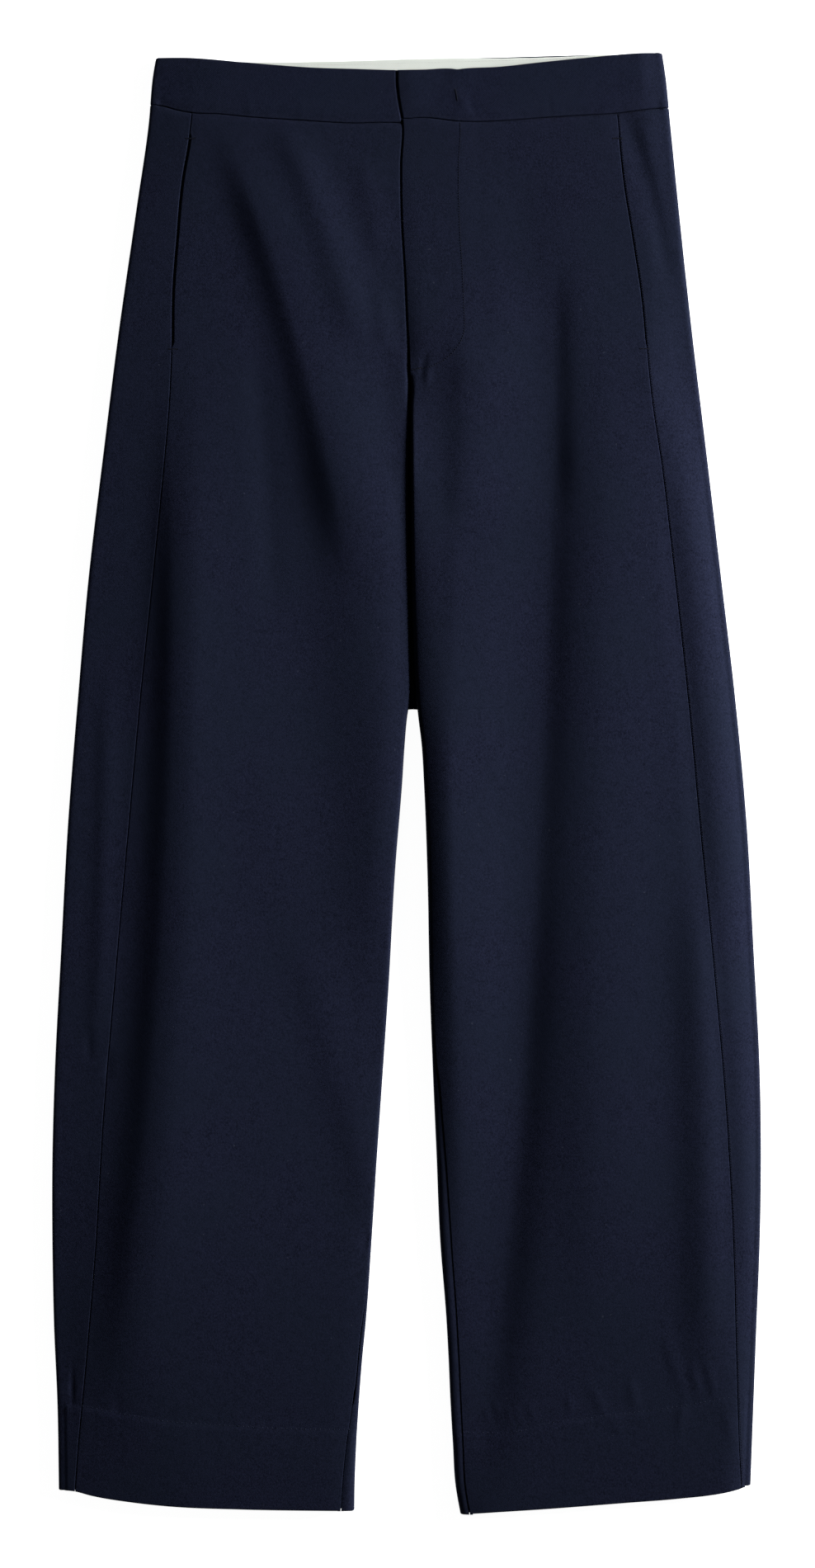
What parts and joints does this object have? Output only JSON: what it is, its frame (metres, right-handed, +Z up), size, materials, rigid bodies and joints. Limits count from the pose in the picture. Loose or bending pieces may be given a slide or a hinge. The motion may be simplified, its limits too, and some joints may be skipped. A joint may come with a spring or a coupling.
{
  "type": "wide-leg trousers laid flat",
  "caption": "Wide-leg navy wool trousers laid flat with the front up, with a concealed fly, pockets in the forward side seams and deep turned-up hems.",
  "frame": {"origin": "middle of the laid garment's footprint, on the surface that it lies on", "axes": "+Y towards the waist, +Z up out of the garment's front, +X towards the wearer's left leg"},
  "size_m": [0.505, 1.0395, 0.0167],
  "materials": {
    "wool": "fine matt navy wool twill",
    "lining": "smooth off-white cotton"
  },
  "bodies": {
    "root": {"front_right": "wool", "front_left": "wool", "back_right": "wool", "back_left": "wool", "waistband_right": "wool", "waistband_left": "wool", "waistband_lining": "lining", "pocket_facing_right": "wool", "pocket_facing_left": "wool"}
  },
  "joints": []
}
